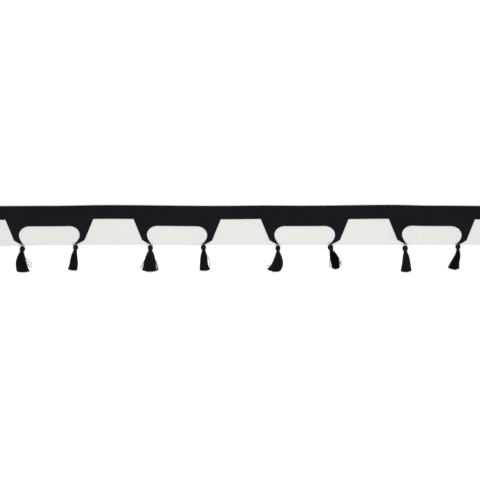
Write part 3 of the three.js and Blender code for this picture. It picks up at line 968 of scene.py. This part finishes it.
def skirt_guides(neck, root, length, left, right):
    """The skirt's four guide lines: its left and right edges on the surface, then those of its top."""
    lines = [[], [], [], []]
    raised = neck.z - SKIRT_SECTIONS[0][2] / 2
    for step in range(GUIDE_STEPS + 1):
        share = step / GUIDE_STEPS
        for upper, lower in zip(SKIRT_SECTIONS, SKIRT_SECTIONS[1:]):
            if share <= lower[0]:
                break
        mix = (share - upper[0]) / (lower[0] - upper[0])
        floor = raised * (upper[1] + (lower[1] - upper[1]) * mix) + SKIRT_THREAD_RADIUS
        top = floor + (upper[2] + (lower[2] - upper[2]) * mix - 2 * SKIRT_THREAD_RADIUS)
        low = edge_at(share, (-root, *left)) - FULLNESS
        high = edge_at(share, (root, *right)) + FULLNESS
        middle, half = (low + high) / 2, (high - low) / 2
        top_half = SKIRT_TOP_SPREAD * half
        y = neck.y - length * share
        corners = (
            (middle - half, floor),
            (middle + half, floor),
            (middle - top_half, top),
            (middle + top_half, top),
        )
        for line, (x, z) in zip(lines, corners):
            line.append(Vector((neck.x + x, y, z)))
    return lines


def stray_lines(number, neck):
    """The threads that have worked loose from that tassel's skirt."""
    return [
        [
            neck + Vector((x, y, max(STRAY_LEAST * STRAY_RADIUS, STRAY_UP + y / STRAY_FALL) - neck.z))
            for x, y in places
        ]
        for places in STRAYS.get(number, [])
    ]


def plied(name, lines, radius, step, tone, plies=1, offset=0.0):
    """Black rayon thread of one or more plies along lines."""
    values = {
        "Plies": plies,
        "Ply radius": radius * MM,
        "Ply offset": offset * MM,
        "Twist pitch": LOOP_PITCH * MM,
        "Step": step * MM,
        "Tone": tone,
        "Material": rayon,
    }
    return grown(name, plied_nodes, lines, values, unit=MM)


border_face = BORDER_UNDERSIDE + BORDER_THICK
rayon = fibre_material(
    "black_rayon_thread",
    fuzz_nodes,
    {"Roughness": 0.45},
    shade=RAYON_BLACK_SHADE,
    light=RAYON_BLACK,
    bump=FUZZ_BUMP,
    depth=FUZZ_DEPTH,
    Specular_IOR_Level=0.03,
)
skirt_nodes, plied_nodes, head_nodes = skirt_tree(), plied_tree(), head_tree()
for number, (head_lie, loop_lie, neck_lie, length, left, right, corners, tone) in enumerate(TASSELS):
    across, drop, head_radius, roundness = head_lie
    neck_side, neck_down, neck_radius = neck_lie
    roof, side = number // 2, 1 if number % 2 else -1
    tip_x = roof_middle(roof) + ROOFS[roof][1] * (side * TIP_OUT + TIP_LEAN)
    tip_y = TIP_UP + eased(BORDER_SWAY, tip_x)
    head_height = max(
        head_radius + HEAD_LIFT,
        height_over(TAPE_THICK / MM, head_radius, drop - tip_y + eased(TAPE_SWAY, tip_x)),
        height_over(border_face, head_radius, math.hypot(across, drop)),
    )
    head = Vector((across, -drop, head_height))
    neck = head + Vector((neck_side, -neck_down, -NECK_SINK))
    upright = (head - neck).normalized().to_track_quat("Z", "Y").to_matrix().to_4x4()

    # The heads' threads take a lighter tone than most skirts', a painted sheen.
    head_mesh = grown(
        "head",
        head_nodes,
        [head_line(head_radius, roundness, neck_radius, (head - neck).length)],
        {
            "Threads": HEAD_THREADS,
            "Thread radius": HEAD_THREAD_RADIUS * MM,
            "Swirl": HEAD_SWIRL,
            "Tone": HEAD_SHEEN_TONE,
            "Seed": number,
            "Material": rayon,
        },
        unit=MM,
    )
    head_mesh.transform(Matrix.Translation(head * MM) @ upright)
    coil = binding_line(neck_radius)
    binding_mesh = plied("binding", [coil], BINDING_RADIUS, BINDING_STEP, BINDING_TONE)
    binding_mesh.transform(Matrix.Translation(neck * MM) @ upright)
    loop_mesh = plied(
        "loop",
        [loop_line(head, head_radius, *loop_lie)],
        LOOP_PLY_RADIUS,
        LOOP_STEP,
        tone,
        plies=2,
        offset=LOOP_RADIUS - LOOP_PLY_RADIUS,
    )
    stray_mesh = plied("strays", stray_lines(number + 1, neck), STRAY_RADIUS, STRAY_STEP, tone)
    skirt_mesh = grown(
        "skirt",
        skirt_nodes,
        skirt_guides(neck, neck_radius - ROOT_INSET, length, left, right),
        {
            "Threads": SKIRT_THREADS,
            "Steps": SKIRT_STEPS,
            "Thread radius": SKIRT_THREAD_RADIUS * MM,
            "Left corner": corners[0] / length,
            "Right corner": corners[1] / length,
            "Hem unevenness": HEM_UNEVEN,
            "Wave": SKIRT_WAVE * MM,
            "Tone": tone,
            "Seed": SEEDS_APART * number,
            "Material": rayon,
        },
        unit=MM,
    )
    tassel_mesh = merged(
        f"thread_tassel_{number + 1}", head_mesh, binding_mesh, loop_mesh, skirt_mesh, stray_mesh
    )
    tassel_mesh.transform(Matrix.Translation(Vector((tip_x, tip_y + tape_low.y / MM, 0)) * MM))
    add_piece(tassel_mesh.name, tassel_mesh, rayon, "black_thread", f"tassel_{number + 1}")


# Studio: a plain white floor under soft light from two long boxes, one on each side of the trim,
# and a camera straight above it, far off, so that the trim shows flat.
FLOOR_HALF, FLOOR_DROP, FLOOR_GLOW = 6.0, 0.1 * MM, 0.2
FLOOR_WHITE, WHITE = (0.95, 0.95, 0.95, 1), (1, 1, 1, 1)
LIGHT_SHIFT, LIGHT_AWAY, LIGHT_HEIGHT, LIGHT_SIZE, LIGHT_POWER = 0.05, 0.95, 1.2, (1.2, 0.7), 12.6
SKY = 0.35
VIEW_MIDDLE, VIEW_WIDTH, CAMERA_HEIGHT = (-0.94 * MM, -17.6 * MM), 602 * MM, 6.0

floor_mesh = bpy.data.meshes.new("floor")
floor_corners = [
    (x * FLOOR_HALF, y * FLOOR_HALF, -FLOOR_DROP) for x, y in ((-1, -1), (1, -1), (1, 1), (-1, 1))
]
floor_mesh.from_pydata(floor_corners, [], [(0, 1, 2, 3)])
white_floor, _, _ = new_material(
    "white_floor",
    Base_Color=FLOOR_WHITE,
    Roughness=0.9,
    Specular_IOR_Level=0.0,
    Emission_Color=WHITE,
    Emission_Strength=FLOOR_GLOW,
)
floor_mesh.materials.append(white_floor)
floor = bpy.data.objects.new("floor", floor_mesh)
bpy.context.scene.collection.objects.link(floor)

for side in (-1, 1):
    light_box = bpy.data.lights.new(f"light_box_{side}", "AREA")
    light_box.shape = "RECTANGLE"
    light_box.size, light_box.size_y = LIGHT_SIZE
    light_box.energy = LIGHT_POWER
    lamp = bpy.data.objects.new(light_box.name, light_box)
    lamp.location = (LIGHT_SHIFT, side * LIGHT_AWAY, LIGHT_HEIGHT)
    lamp.rotation_euler = (-lamp.location).to_track_quat("-Z", "Y").to_euler()
    lamp.visible_camera = False
    bpy.context.scene.collection.objects.link(lamp)

world = bpy.data.worlds.new("studio")
world.use_nodes = True
feed(world.node_tree, world.node_tree.nodes["Background"], {"Color": WHITE, "Strength": SKY})
bpy.context.scene.world = world
bpy.context.scene.view_settings.view_transform = "Standard"

camera_data = bpy.data.cameras.new("camera")
camera_data.lens = camera_data.sensor_width * CAMERA_HEIGHT / VIEW_WIDTH
camera = bpy.data.objects.new("camera", camera_data)
camera.location = (*VIEW_MIDDLE, CAMERA_HEIGHT)
bpy.context.scene.collection.objects.link(camera)
bpy.context.scene.camera = camera
